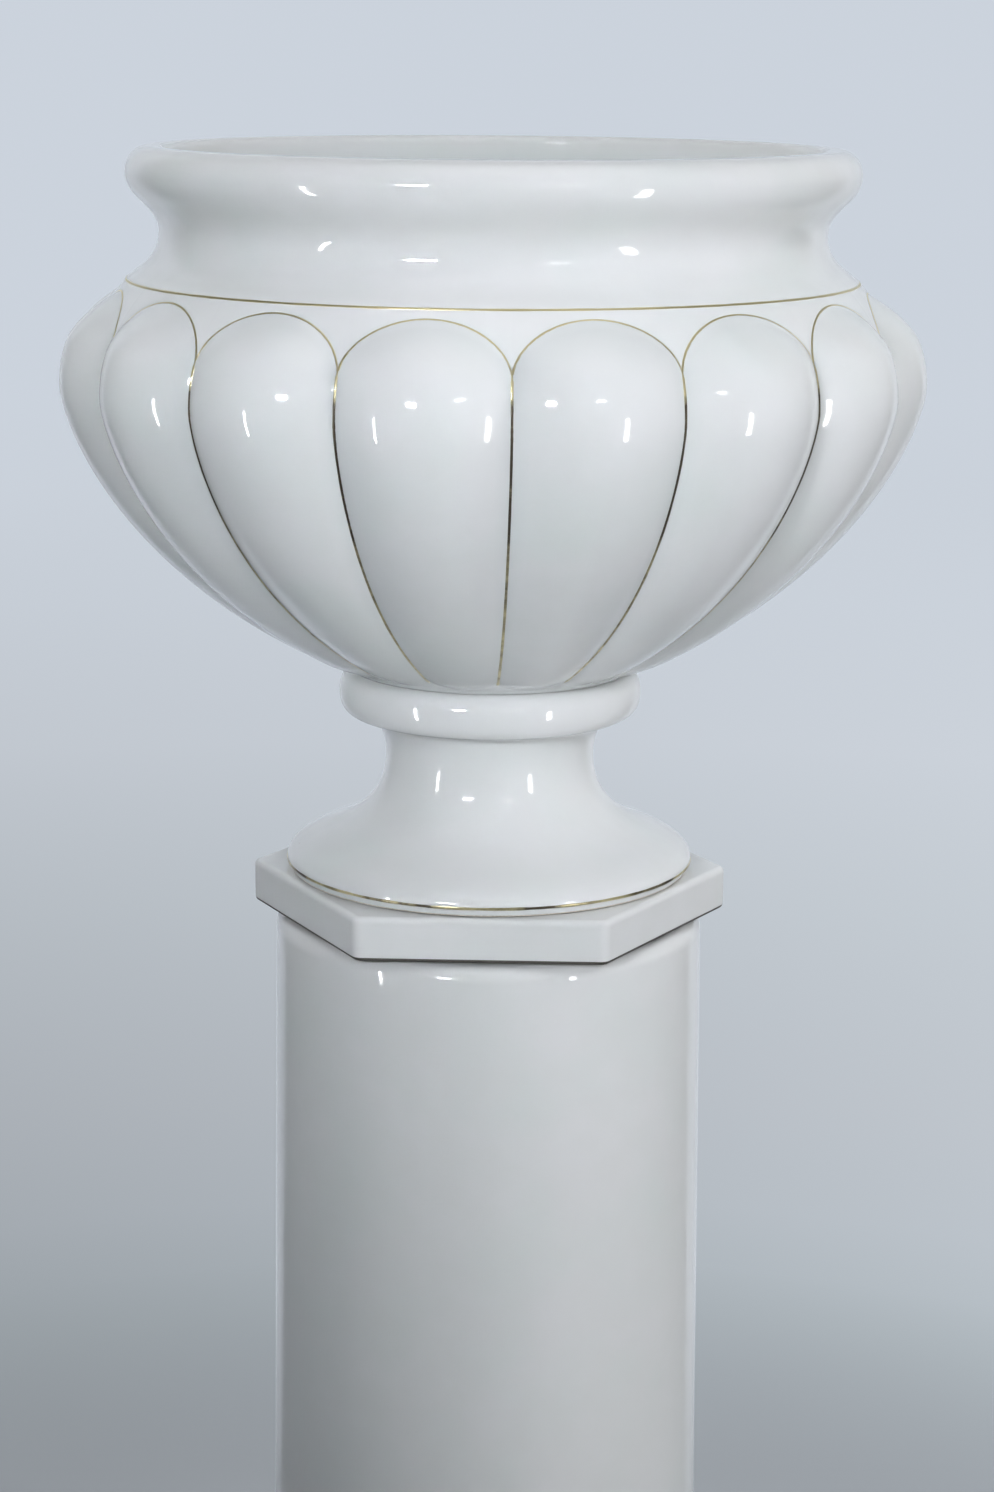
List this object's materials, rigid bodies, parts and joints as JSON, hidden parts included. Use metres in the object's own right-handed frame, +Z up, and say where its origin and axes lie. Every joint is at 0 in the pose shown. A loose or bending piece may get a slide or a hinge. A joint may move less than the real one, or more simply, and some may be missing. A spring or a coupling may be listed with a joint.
{
  "type": "jardiniere on stand",
  "caption": "Lobed ceramic jardiniere with a rolled rim on a waisted foot and hexagonal plinth, standing on a round hollow column with a hexagonal base.",
  "frame": {"origin": "on the floor, at the centre of the underside of the column's base", "axes": "+Z up along the column, a flat side of both hexagons faces -Y, which is the viewer's side"},
  "size_m": [0.4272, 0.4272, 1.0481],
  "materials": {
    "white_glaze": "gloss",
    "gold_lustre": "polished"
  },
  "bodies": {
    "stand": {"column_base": "white_glaze", "column_shaft": "white_glaze"},
    "jardiniere": {"hex_plinth": "white_glaze", "foot_stem": "white_glaze", "bowl": "white_glaze", "shoulder_gold_line": "gold_lustre", "foot_gold_line": "gold_lustre"}
  },
  "joints": [
    {"name": "jardiniere_lift", "type": "slide", "parent": "stand", "child": "jardiniere", "axis": [0, 0, 1], "range_m": [0, 0.15]}
  ]
}
